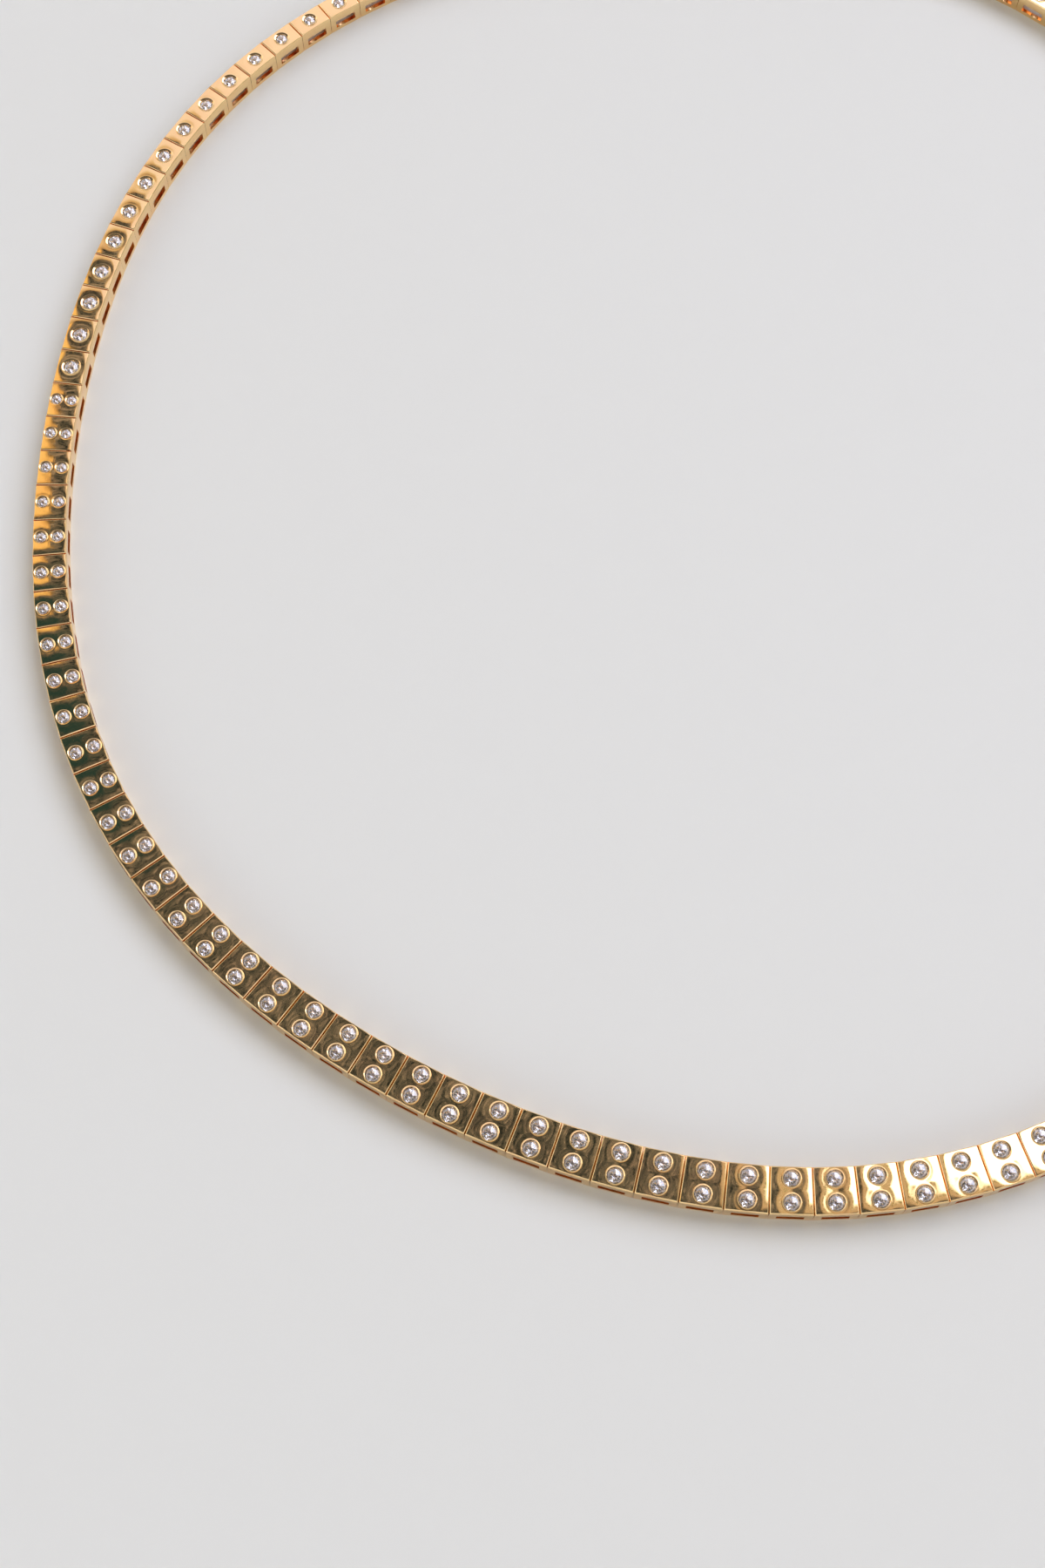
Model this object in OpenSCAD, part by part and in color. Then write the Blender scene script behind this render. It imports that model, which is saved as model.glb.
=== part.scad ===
// Riviere necklace of hollow box links, lying flat in a closed loop.
// Every link is one soldered box: a top plate drilled for its diamonds, two windowed
// sides, a cross pin at one end and an eye at the other that closes round the next pin.
// The front is at -Y, the clasp at the back, and Z = 0 is the surface that it lies on.

/* [Chain] */
// Length that one link takes along the chain, its gap included
pitch = 3.8; // [3.7:0.05:4]
// Links with two diamonds, an odd number so that one of them is the front link
paired_links = 63; // [51:2:71]
// Links with one diamond, on each side of the clasp
single_links_a_side = 24; // [20:1:28]
// Stretch of the chain that the clasp fills
clasp_pitch = 7.8; // [6:0.1:10]
// Clear gap between the faces of neighbouring links
link_gap = 0.12; // [0.11:0.01:0.16]

/* [Loop] */
// Direction of the front link, seen from the middle of the loop, in degrees
front_direction = -87.7; // [-95:0.1:-80]
// Turns of each gentle wave that the lying chain makes, once round the loop
wave_turns = [2, 3, 5]; // [2:1:6]
// Height of each wave, as a part of the loop's mean radius
wave_height = [0.0273, 0.0076, 0.0101]; // [0:0.0001:0.03]
// Direction in which each wave has a crest, in degrees
wave_crest = [-66.5, -28.5, -6.0]; // [-180:0.5:180]

/* [Link box] */
// Width of the front link
front_width = 4.2; // [4:0.1:4.4]
// Width of the links beside the clasp
back_width = 2.2; // [2.2:0.1:2.6]
// Height of every link
link_height = 2.4; // [2.35:0.05:2.6]
// Thickness of the top plate
plate = 0.75; // [0.7:0.05:0.8]
// Thickness of the side walls and the end walls
wall = 0.4; // [0.35:0.05:0.45]
// Width and drop of the bevel along a link's two long edges
shoulder = [0.22, 0.1]; // [0.05:0.01:0.25]
// Width and drop of the bevel across a link's two ends
end_bevel = [0.18, 0.1]; // [0.05:0.01:0.2]
// Length of the window in each side
window_length = 2.2; // [1.8:0.1:2.2]
// Height of the window's sill and of its lintel above the surface
window_reach = [0.42, 1.35]; // [0.4:0.01:1.5]

/* [Hinge] */
// Radius of the cross pin
pin_radius = 0.2; // [0.15:0.01:0.22]
// Distance of the cross pin from its link's end face
pin_inset = 0.45; // [0.42:0.01:0.48]
// Height of the cross pin above the surface
pin_height = 0.75; // [0.72:0.01:0.8]
// Clear gap between the pin and the eye
pin_play = 0.15; // [0.14:0.01:0.16]
// Thickness of metal round the eye's hole
eye_wall = 0.2; // [0.15:0.01:0.2]
// Width of the eye across the chain
eye_width = 0.8; // [0.6:0.05:0.8]

/* [Diamonds] */
// Diameter of a paired diamond, as a part of its link's width
paired_size = 0.37; // [0.34:0.01:0.38]
// Distance between the middles of a pair, as a part of the link's width
paired_spread = 0.5; // [0.49:0.005:0.51]
// Diameter of a single diamond, as a part of its link's width
single_size = 0.55; // [0.45:0.01:0.58]
// Clear gap between a diamond and its seat
seat_play = 0.11; // [0.11:0.005:0.12]
// Height of the diamond's table above the plate
table_rise = 0.02; // [0:0.01:0.05]
// Width and height of the raised rim round each seat
rim = [0.06, 0.05]; // [0.05:0.005:0.08]
// Links beside the clasp, on each side, whose seats are left open
open_seats_a_side = 19; // [0:1:24]

/* [Hidden] */

$fn = 48;
gold = "goldenrod";
ice = "aliceblue";
over = 1;
half_pairs = (paired_links - 1) / 2;
half_links = half_pairs + single_links_a_side;
chain_length = (2 * half_links + 1) * pitch + clasp_pitch;
eye_radius = pin_radius + pin_play + eye_wall;
cavity_top = link_height - plate;

// Proportions of a brilliant as parts of its diameter, and the facets round it
table_part = 0.57;
crown_part = 0.15;
girdle_part = 0.03;
pavilion_part = 0.43;
facets = 8;
// Depth of the seat's ledge under the girdle, and how far the ledge reaches in
ledge_drop = 0.3;
ledge_reach = 0.17;

// The loop's radius in each direction, for a mean radius of one
function unit_radius(a) = 1 + wave_height * [for (i = [0:len(wave_turns) - 1])
    cos(wave_turns[i] * (a - wave_crest[i]))];
function unit_point(a) = unit_radius(a) * [cos(a), sin(a)];

// Distance run round that loop from the front link, at every step of half a degree
step = 0.5;
steps = 360 / step;
unit_points = [for (i = [0:steps]) unit_point(front_direction + i * step)];
unit_runs = [for (i = 0, run = 0; i <= steps;
    run = run + (i < steps ? norm(unit_points[i + 1] - unit_points[i]) : 0), i = i + 1) run];
mean_radius = chain_length / unit_runs[steps];
turn_table = [for (i = [0:steps]) [unit_runs[i] * mean_radius, i * step]];

// The point and the heading of the chain's middle line at a distance run from the front
function wrapped(run) = run < 0 ? run + chain_length : run;
function on_loop(run) = mean_radius * unit_point(front_direction + lookup(wrapped(run), turn_table));
function angle_of(v) = atan2(v.y, v.x);
function heading(run) = angle_of(on_loop(run + step) - on_loop(run - step));
function turned(v, a) = [v.x * cos(a) - v.y * sin(a), v.x * sin(a) + v.y * cos(a)];

// A link is counted from the front link, to +X on the right, and starts and ends at two joints
function link_start(k) = (k - 0.5) * pitch;
function link_end(k) = (k + 0.5) * pitch;
function link_width(k) = back_width + (front_width - back_width) * (1 + cos(180 * k / half_links)) / 2;

// Corners of the chain at a joint, and the middle of the box round all of them
function joint_edge(k, side) = on_loop(link_end(k))
    + turned([0, side * link_width(k) / 2], heading(link_end(k)));
edges = [for (k = [-half_links - 1:half_links], side = [-1, 1]) joint_edge(k, side)];
loop_middle = [for (axis = [0, 1]) let (c = [for (e = edges) e[axis]]) (min(c) + max(c)) / 2];

// Puts a piece that spans two distances run in its place, with its length along X
module spanning(from, to) {
    a = on_loop(from);
    b = on_loop(to);
    translate((a + b) / 2 - loop_middle) rotate(angle_of(b - a)) children();
}
function span(from, to) = norm(on_loop(to) - on_loop(from));
function bend(at, from, to) = let (d = heading(at) - angle_of(on_loop(to) - on_loop(from)))
    d - 360 * round(d / 360);

// Solid bar of a link's cross-section, with bevelled long edges
module bar(length, width) {
    side = width / 2;
    deck = side - shoulder[0];
    brow = link_height - shoulder[1];
    rotate([90, 0, 90]) linear_extrude(height = length, center = true)
        polygon([[-side, 0], [side, 0], [side, brow], [deck, link_height],
            [-deck, link_height], [-side, brow]]);
}

// What is cut off past a link's end at +X, so that neighbouring faces stay parallel
module end_cut(length, width, turn) {
    brow = link_height - end_bevel[1];
    translate([length / 2, 0, 0]) rotate(turn) translate([-link_gap / 2, 0, 0])
        rotate([90, 0, 0]) linear_extrude(height = width + 2 * over, center = true)
            polygon([[0, -over], [0, brow], [-2 * end_bevel[0], link_height + end_bevel[1]],
                [over, link_height + end_bevel[1]], [over, -over]]);
}

// Both trimmed ends of a piece that spans two distances run
module trimmed_ends(from, to, width) {
    length = span(from, to);
    end_cut(length, width, bend(to, from, to));
    mirror([1, 0, 0]) end_cut(length, width, -bend(from, from, to));
}

// Room that the next link's eye needs at a piece's end at -X, open below
module eye_slot(length) {
    slot_width = eye_width + 2 * pin_play;
    slot_top = pin_height + eye_radius + pin_play;
    translate([-length / 2 - over, -slot_width / 2, -over])
        cube([over + link_gap / 2 + pin_inset, slot_width, slot_top + over]);
}

// Cross pin at the end at -X, soldered into both side walls
module cross_pin(length, width) {
    translate([-length / 2 + link_gap / 2 + pin_inset, 0, pin_height]) rotate([90, 0, 0])
        cylinder(r = pin_radius, h = width - wall, center = true);
}

// Eye at the end at +X, on an arm that grows out of the end wall
module eye(length) {
    reach = length / 2 + link_gap / 2 + pin_inset;
    root = length / 2 - link_gap / 2 - 0.75 * wall;
    arm = 1.5 * eye_radius;
    translate([0, 0, pin_height]) rotate([90, 0, 0])
        linear_extrude(height = eye_width, center = true) difference() {
            union() {
                translate([reach, 0]) circle(r = eye_radius);
                translate([root, -arm / 2]) square([reach - root, arm]);
            }
            translate([reach, 0]) circle(r = pin_radius + pin_play);
        }
}

// Stepped seat of a diamond: a wide bore down to a ledge, then a narrower one through it
module seat(size) {
    ledge = link_height + table_rise - (crown_part + girdle_part) * size - ledge_drop;
    wide = size / 2 + seat_play;
    narrow = size / 2 - ledge_reach;
    rotate_extrude() polygon([[0, cavity_top - over], [narrow, cavity_top - over], [narrow, ledge],
        [wide, ledge], [wide, link_height + over], [0, link_height + over]]);
}

// Disc that the seat's raised rim is turned from
module rim_disc(size) {
    translate([0, 0, cavity_top + plate / 2])
        cylinder(r = size / 2 + seat_play + rim[0], h = plate / 2 + rim[1]);
}

// One box link whose diamonds of one size sit at the given places across the plate
module box_link(k, size, places) {
    from = link_start(k);
    to = link_end(k);
    length = span(from, to);
    width = link_width(k);
    hollow = length - link_gap - 2 * wall;
    spanning(from, to) union() {
        difference() {
            union() {
                bar(length + over, width);
                for (y = places) translate([0, y, 0]) rim_disc(size);
            }
            trimmed_ends(from, to, width);
            translate([-hollow / 2, wall - width / 2, -over])
                cube([hollow, width - 2 * wall, cavity_top + over]);
            translate([-window_length / 2, -width / 2 - over, window_reach[0]])
                cube([window_length, width + 2 * over, window_reach[1] - window_reach[0]]);
            eye_slot(length);
            for (y = places) translate([0, y, 0]) seat(size);
        }
        cross_pin(length, width);
        eye(length);
    }
}

function pair_places(k) = [for (side = [-1, 1]) side * paired_spread * link_width(k) / 2];
function pair_stone(k) = paired_size * link_width(k);
function single_stone(k) = single_size * link_width(k);

module paired_links_chain() {
    color(gold) for (k = [-half_pairs:half_pairs]) box_link(k, pair_stone(k), pair_places(k));
}

module single_links_chain() {
    color(gold) for (side = [-1, 1], n = [half_pairs + 1:half_links])
        box_link(side * n, single_stone(n), [0]);
}

// Plain closed box at the back, with a pocket and pin at one end and an eye at the other
module box_clasp() {
    from = link_end(half_links);
    to = chain_length + link_start(-half_links);
    length = span(from, to);
    pocket = pin_inset + eye_radius + 2 * pin_play;
    color(gold) spanning(from, to) union() {
        difference() {
            bar(length + over, back_width);
            trimmed_ends(from, to, back_width);
            translate([-length / 2 + wall, wall - back_width / 2, -over])
                cube([pocket, back_width - 2 * wall, cavity_top + over]);
            eye_slot(length);
        }
        cross_pin(length, back_width);
        eye(length);
    }
}

// Eight points of a brilliant on a circle, at a height
function ring(r, z, turn) = [for (i = [0:facets - 1])
    let (a = (i + turn) * 360 / facets) [r * cos(a), r * sin(a), z]];

// Brilliant with a table, a crown of sixteen facets, a thin girdle and eight facets below
module brilliant(size) {
    table = link_height + table_rise;
    girdle = table - crown_part * size;
    belt = girdle - girdle_part * size;
    last = facets - 1;
    points = concat(ring(table_part * size / 2, table, 0.5), ring(size / 2, girdle, 0),
        ring(size / 2, belt, 0), [[0, 0, belt - pavilion_part * size]]);
    polyhedron(points = points, faces = concat(
        [[for (i = [last:-1:0]) i]],
        [for (i = [0:last]) [i, (i + 1) % facets, facets + (i + 1) % facets]],
        [for (i = [0:last]) [facets + i, i, facets + (i + 1) % facets]],
        [for (i = [0:last]) [2 * facets + i, facets + i, facets + (i + 1) % facets,
            2 * facets + (i + 1) % facets]],
        [for (i = [0:last]) [3 * facets, 2 * facets + i, 2 * facets + (i + 1) % facets]]));
}

// The diamonds of one link, each turned a little further than the last
module link_diamonds(k, size, places) {
    spanning(link_start(k), link_end(k)) for (y = places)
        translate([0, y, 0]) rotate(137.5 * k + 30 * sign(y)) brilliant(size);
}

module paired_diamonds() {
    color(ice) for (k = [-half_pairs:half_pairs])
        link_diamonds(k, pair_stone(k), pair_places(k));
}

module single_diamonds() {
    color(ice) for (side = [-1, 1], n = [half_pairs + 1:half_links - open_seats_a_side])
        link_diamonds(side * n, single_stone(n), [0]);
}

paired_links_chain();
single_links_chain();
box_clasp();
paired_diamonds();
single_diamonds();
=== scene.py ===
# %% [markdown]
# # A riviere necklace of gold box links and diamonds
# The necklace lies flat in a closed loop. Its 111 hollow links are soldered boxes, each with two
# small diamonds across the chain at the front, or a single one towards the clasp. The solids of
# the part are loaded first and stay fixed. This lesson then dresses them: every link, stone and
# the clasp is made again as a finished surface, with crowned plates, soft bevels and real facets.
# Sizes are worked out in millimetres and turned into metres when a mesh is made.

# %% Load the solids and keep their box
import math
from functools import partial

import bmesh
import bpy
import numpy as np
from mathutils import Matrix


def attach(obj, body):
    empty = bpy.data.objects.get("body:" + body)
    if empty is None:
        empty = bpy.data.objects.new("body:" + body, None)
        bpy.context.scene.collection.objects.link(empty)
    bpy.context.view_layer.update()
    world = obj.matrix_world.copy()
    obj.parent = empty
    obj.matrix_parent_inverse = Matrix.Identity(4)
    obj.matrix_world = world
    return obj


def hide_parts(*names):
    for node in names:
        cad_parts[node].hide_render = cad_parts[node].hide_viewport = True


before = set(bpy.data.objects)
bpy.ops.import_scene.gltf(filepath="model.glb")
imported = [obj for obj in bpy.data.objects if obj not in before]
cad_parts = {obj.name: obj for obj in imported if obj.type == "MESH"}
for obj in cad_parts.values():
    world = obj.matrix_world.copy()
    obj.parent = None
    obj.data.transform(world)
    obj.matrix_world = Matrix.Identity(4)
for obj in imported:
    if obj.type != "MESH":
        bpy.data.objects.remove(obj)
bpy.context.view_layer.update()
scene = bpy.context.scene
MM = 0.001

# %% [markdown]
# ## The line that the chain lies on
# A chain laid down by hand makes no perfect circle. It could be drawn point by point, but three
# gentle waves round a circle follow it closely and need only nine numbers. The distance run
# along the line is added up once, so that each link finds its place by length.

# %% The loop as a circle with three waves
# Joint to joint, the clasp's own length, and the gap between two links
PITCH, CLASP_PITCH, GAP = 3.8, 7.8, 0.05
# Links with two stones, and links with one on each side of them
PAIRED, SINGLES = 63, 24
# Towards the front link, in degrees
FRONT_DIRECTION = -87.7
# Waves: crests round the loop, height as a part of the radius, and a crest's direction
WAVES = np.array([[2, 0.0273, -66.5], [3, 0.0076, -28.5], [5, 0.0101, -6.0]])
HALF_PAIRS = (PAIRED - 1) // 2
HALF_LINKS = HALF_PAIRS + SINGLES
CHAIN = (2 * HALF_LINKS + 1) * PITCH + CLASP_PITCH
# Steps round the loop in degrees, and half the chord that gives a heading
TURN_STEP, HALF_CHORD = 0.5, 0.5


def unit_point(degrees):
    """Point at radius 1 + the sum of height * cos(turns * (direction - crest)) over the waves."""
    turns, height, crest = (column[:, None] for column in WAVES.T)
    degrees = np.atleast_1d(degrees)
    radius = 1 + (height * np.cos(np.radians(turns * (degrees[None, :] - crest)))).sum(0)
    direction = np.radians(degrees)
    return radius[:, None] * np.stack([np.cos(direction), np.sin(direction)], 1)


turn_steps = np.arange(0, 360 + TURN_STEP / 2, TURN_STEP)
unit_line = unit_point(FRONT_DIRECTION + turn_steps)
unit_runs = np.concatenate([[0], np.cumsum(np.linalg.norm(np.diff(unit_line, axis=0), axis=1))])
MEAN_RADIUS = CHAIN / unit_runs[-1]


def on_loop(run):
    """Point of the middle line at a distance run from the front link, by linear interpolation."""
    turn = np.interp(np.mod(np.atleast_1d(run), CHAIN), unit_runs * MEAN_RADIUS, turn_steps)
    return MEAN_RADIUS * unit_point(FRONT_DIRECTION + turn)


def heading(run):
    """Direction of the middle line in radians: that of the chord from just before to just after."""
    step = on_loop(np.asarray(run) + HALF_CHORD) - on_loop(np.asarray(run) - HALF_CHORD)
    return np.arctan2(step[:, 1], step[:, 0])


print("chain", round(CHAIN, 1), "mm long, mean radius", round(MEAN_RADIUS, 2), "mm")

# %% [markdown]
# ## Where each link sits
# A link spans two joints. Its own frame has X along the chord between them, Y across towards
# the inside of the loop and Z up. Both ends are cut parallel to their joint, so the link is a
# little shorter inside than outside. Widths fall from the front to the back as half a cosine.

# %% Link widths and the middle of the loop's box
FRONT_WIDTH, BACK_WIDTH = 4.2, 2.2


def link_width(k):
    """Back width plus the rest times (1 + cos(180 * k / half the links)) / 2."""
    return BACK_WIDTH + (FRONT_WIDTH - BACK_WIDTH) * (1 + np.cos(np.pi * k / HALF_LINKS)) / 2


joint_k = np.arange(-HALF_LINKS - 1, HALF_LINKS + 1)
joint_runs = (joint_k + 0.5) * PITCH
across = np.stack([-np.sin(heading(joint_runs)), np.cos(heading(joint_runs))], 1)
reach = across * link_width(joint_k)[:, None] / 2
corners = np.concatenate([on_loop(joint_runs) + reach, on_loop(joint_runs) - reach])
LOOP_MIDDLE = (corners.min(0) + corners.max(0)) / 2
print("loop box mm", np.round(corners.max(0) - corners.min(0), 2))


# %% The frame of each piece that spans two joints
# Usual slope of a plate's lean, and how far from the link's middle the slant of its ends starts
LEAN, SLANT_START = 0.003, 1.05


def beside(values, like):
    """Numbers of one kind per link, shaped to work with an array of points per link."""
    return np.reshape(values, (-1,) + (1,) * (np.ndim(like) - 1))


class Span:
    """Middle, turn and half length of pieces between two runs, the slant of their ends, and the
    lean of each top plate along and across, because no two are polished quite level."""

    def __init__(self, start, end, width, seed=3):
        first, last = on_loop(start), on_loop(end)
        chord = last - first
        self.middle = (first + last) / 2 - LOOP_MIDDLE
        self.turn = np.arctan2(chord[:, 1], chord[:, 0])
        self.half = (np.linalg.norm(chord, axis=1) - GAP) / 2
        self.side = np.atleast_1d(width) / 2
        self.slant = np.tan([heading(run) - self.turn for run in (start, end)])
        chance = np.random.default_rng(seed)
        self.lean = np.clip(chance.normal(0, LEAN, (2, len(self.half))), -2 * LEAN, 2 * LEAN)

    def place(self, x, y, z, slanted=True):
        """Link frame to the loop's frame: x less y times the end's slant, then a turn and a shift.
        The slant grows evenly from nothing at its start to all of it at the link's end."""
        x, y, z = np.broadcast_arrays(x, y, z)
        if slanted:
            grown = (np.abs(x) - SLANT_START) / (beside(self.half, x) - SLANT_START)
            slant = np.where(x > 0, beside(self.slant[1], x), beside(self.slant[0], x))
            x = x - y * np.clip(grown, 0, 1) * slant
        cos, sin = np.cos(beside(self.turn, x)), np.sin(beside(self.turn, x))
        shift_x, shift_y = (beside(middle, x) for middle in self.middle.T)
        return np.stack([x * cos - y * sin + shift_x, x * sin + y * cos + shift_y, z], -1)


def links(k):
    """The spans of the links with these numbers, counted from the front link."""
    return Span((k - 0.5) * PITCH, (k + 0.5) * PITCH, link_width(k))


paired_k = np.arange(-HALF_PAIRS, HALF_PAIRS + 1)
single_k = np.concatenate([-np.arange(HALF_PAIRS + 1, HALF_LINKS + 1)[::-1],
                           np.arange(HALF_PAIRS + 1, HALF_LINKS + 1)])
paired, single = links(paired_k), links(single_k)
clasp = Span(np.array([(HALF_LINKS + 0.5) * PITCH]),
             np.array([CHAIN - (HALF_LINKS + 0.5) * PITCH]), BACK_WIDTH)
print(len(paired_k), "paired and", len(single_k), "single links")
print("the clasp is", round(2 * clasp.half[0], 2), "mm long")

# %% [markdown]
# ## Camera and floor
# The picture looks down on the front and left of the loop, about 69 degrees below the level,
# with a plain 51 mm lens. The camera stands where the measured joints put it. Under the
# necklace lies one wide pale sheet, which curves up far away so that low views have no horizon.

# %% The camera
# Lens and longer side of the film in mm, and degrees that the view looks down
LENS, SENSOR, LOOKS_DOWN = 50.98, 36.0, 68.95
# From the middle of the circle that the loop waves about, in mm
CAMERA = np.array([-20.46, -105.61, 193.9]) - np.append(LOOP_MIDDLE, 0)
camera_data = bpy.data.cameras.new("photo_camera")
camera_data.lens, camera_data.sensor_width = LENS, SENSOR
camera_data.clip_start, camera_data.clip_end = 0.01, 20
camera = bpy.data.objects.new("photo_camera", camera_data)
scene.collection.objects.link(camera)
camera.location = CAMERA * MM
camera.rotation_euler = (math.radians(90 - LOOKS_DOWN), 0, 0)
scene.camera = camera
print("camera mm", np.round(CAMERA, 1))


# %% Meshes from whole arrays
# In metres: nearer points are one, and shorter edges are dropped
SAME_POINT, NO_LENGTH = 1.5e-7, 1e-8


def close_up(mesh):
    """Joins points that coincide, drops edges of no length and turns every face outward. Counts
    triangles, and the open edges: those with other than two faces."""
    joined = bmesh.new()
    joined.from_mesh(mesh)
    bmesh.ops.remove_doubles(joined, verts=joined.verts, dist=SAME_POINT)
    bmesh.ops.dissolve_degenerate(joined, edges=joined.edges, dist=NO_LENGTH)
    bmesh.ops.recalc_face_normals(joined, faces=joined.faces)
    triangles = sum(len(face.verts) - 2 for face in joined.faces)
    loose = sum(len(edge.link_faces) != 2 for edge in joined.edges)
    print(mesh.name, triangles, "triangles,", loose, "open edges")
    joined.to_mesh(mesh)
    joined.free()


def mesh_object(name, points, faces, inside=None):
    """One mesh from points in mm (n, 3) and a list of index arrays, each (faces, corners). How
    far inside each point lies, if given, is kept with the mesh for its finish to read."""
    mesh = bpy.data.meshes.new(name)
    mesh.vertices.add(len(points))
    mesh.vertices.foreach_set("co", (np.asarray(points) * MM).astype(np.float32).ravel())
    corners = np.concatenate([some.ravel() for some in faces])
    sizes = np.concatenate([np.full(len(some), some.shape[1]) for some in faces])
    mesh.loops.add(len(corners))
    mesh.loops.foreach_set("vertex_index", corners.astype(np.int32))
    mesh.polygons.add(len(sizes))
    mesh.polygons.foreach_set("loop_start", (np.cumsum(sizes) - sizes).astype(np.int32))
    if inside is not None:
        layer = mesh.attributes.new("inside", "FLOAT", "POINT")
        layer.data.foreach_set("value", inside.astype(np.float32))
    mesh.update(calc_edges=True)
    close_up(mesh)
    piece = bpy.data.objects.new(name, mesh)
    scene.collection.objects.link(piece)
    return piece


def grid_faces(rows, columns, closed):
    """Corner numbers of the quads of a grid of points, joined round its columns if closed."""
    across = columns if closed else columns - 1
    row, column = np.meshgrid(np.arange(rows - 1), np.arange(across), indexing="ij")
    here, beyond = row * columns + column, row * columns + (column + 1) % columns
    return np.stack([here, beyond, beyond + columns, here + columns], -1).reshape(-1, 4)


# %% The floor
# In metres, how far below the necklace the sheet lies, and how high its rim curves up
SHEET_DROP, SHEET_RISE = 0.00001, 1.3


def floor_sheet(reach=2.4, level=0.9, level_rings=6, rings=40, spokes=64):
    """A disc that is flat out to level. Beyond, its height is the rise times t^3, as t goes from
    0 there to 1 at the rim."""
    radius = np.concatenate([np.linspace(0, level, level_rings), np.linspace(level, reach, rings)[1:]])
    t = np.clip((radius - level) / (reach - level), 0, 1)
    turns = np.linspace(0, 2 * np.pi, spokes, endpoint=False)
    x, y = radius[:, None] * np.cos(turns), radius[:, None] * np.sin(turns)
    z = np.broadcast_to((SHEET_RISE * t ** 3 - SHEET_DROP)[:, None], x.shape)
    points = np.stack([x, y, z], -1).reshape(-1, 3) / MM
    return mesh_object("pale_floor", points, [grid_faces(len(radius), spokes, True)])


floor = floor_sheet()
for face in floor.data.polygons:
    face.use_smooth = True

# %% [markdown]
# ## The box link
# A riviere link is a small box of gold, open below, that is cut, drilled and soldered. It could
# be a cube with booleans, but then its mirror-polished plate would be dead flat. Here the plate
# is one net of lines that runs from the box's outline to the seat of the stone, so that the
# metal can crown softly, dip a little round each seat and roll over the edges, as hand polishing
# leaves it.

# %% Sizes of the box
# Height of the plate's top, and how thick plate and walls are
TOP, PLATE, WALL = 2.4, 0.75, 0.4
CEILING = TOP - PLATE
# Side windows: half their length, and the heights of sill and lintel
WINDOW_HALF, WINDOW_SILL, WINDOW_LINTEL = 1.2, 0.42, 1.35
# The pin: radius, distance from the link's end, height, and play
PIN_RADIUS, PIN_INSET, PIN_HEIGHT, PIN_PLAY = 0.2, 0.45, 0.75, 0.15
# The eye: thickness of its ring, and width across the link
EYE_WALL, EYE_WIDTH = 0.2, 0.8
EYE_RADIUS = PIN_RADIUS + PIN_PLAY + EYE_WALL
SLOT_HALF = EYE_WIDTH / 2 + PIN_PLAY
SLOT_TOP = PIN_HEIGHT + EYE_RADIUS + PIN_PLAY
# The plate's edge: height at the ends and along the sides, and depth of its rounding
END_EDGE, SIDE_EDGE, EDGE_ROUND = 2.31, 2.27, 0.04
# Widths of the bevels at the ends and along the sides
END_BEVEL, SIDE_BEVEL = 0.11, 0.10
print("slot", SLOT_HALF * 2, "wide and", SLOT_TOP, "high")


# %% The outline of a box, and of rings inside it
# Steps from the middle of an end to a corner, and from corner to corner along a side
END_STEPS, LONG_STEPS = 4, 10
# Where the half outline has its corners, its last point and its points along the side
CORNER, FAR_CORNER, FAR_END = END_STEPS, END_STEPS + LONG_STEPS, 2 * END_STEPS + LONG_STEPS
ALONG_SIDE = slice(CORNER, FAR_CORNER + 1)


def half_outline(right, left, side, windowed=True):
    """Nineteen points from the middle of the end at +X round the side at +Y to the middle of the
    other end. The slot's edges are among them, and the window's corners if the box has one."""
    right, left = (np.reshape(end, (-1, 1)) for end in (right, left))
    side = np.broadcast_to(side, (len(right), LONG_STEPS + 1))
    if windowed:
        window = WINDOW_HALF * np.linspace(1, -1, LONG_STEPS - 3)[None, :] + 0 * right
        halfway = (right + WINDOW_HALF) / 2, (left - WINDOW_HALF) / 2
        along = np.concatenate([right, halfway[0], window, halfway[1], left], 1)
    else:
        along = right + (left - right) * np.linspace(0, 1, LONG_STEPS + 1)[None, :]
    shares = np.linspace(0, 1, END_STEPS)[None, :]
    climb = lambda edge: np.concatenate([0 * edge, SLOT_HALF + (edge - SLOT_HALF) * shares], 1)
    up, down = climb(side[:, :1]), climb(side[:, -1:])[:, ::-1]
    x = np.concatenate([right + 0 * up[:, :-1], along, left + 0 * down[:, 1:]], 1)
    y = np.concatenate([up[:, :-1], side, down[:, 1:]], 1)
    return x, y


def round_box(line, sign=1):
    """Values of the half outline, and going back again those of its mirror image."""
    return np.concatenate([line, sign * line[..., -2:0:-1]], -1)


def whole_outline(half):
    """The half outline and its mirror image, thirty-six points round the box."""
    return round_box(half[0]), round_box(half[1], -1)


def edge_height():
    """Height of the edge along the half outline: lower at the side than at the ends, and midway
    between at the corners."""
    line = np.full(FAR_END + 1, END_EDGE)
    line[ALONG_SIDE] = SIDE_EDGE
    line[[CORNER, FAR_CORNER]] = (END_EDGE + SIDE_EDGE) / 2
    return line


outline_points = whole_outline(half_outline(1.0, -1.0, 1.0))[0].shape[1]
print("outline of", outline_points, "points at", sorted(set(edge_height())), "mm")


# %% Stones, their seats and rims
# Rims: height, and reach beyond a stone of a pair and beyond a single one
RIM_TOP, PAIR_RIM, SINGLE_RIM = 2.45, 0.115, 0.17
# Tables above the plate, and crown, girdle and pavilion as parts of a stone's width
TABLE_RISE, CROWN_PART, GIRDLE_PART, PAVILION_PART = 0.045, 0.15, 0.03, 0.43
# A seat's ledge: distance below the girdle, and reach inward
LEDGE_DROP, LEDGE_REACH = 0.3, 0.17
# Parts of half a link's width: a pair's radii and distances from the middle, and a single radius
PAIR_SIZE, PAIR_SPREAD, SINGLE_SIZE = 0.37, 0.5, 0.55


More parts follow.
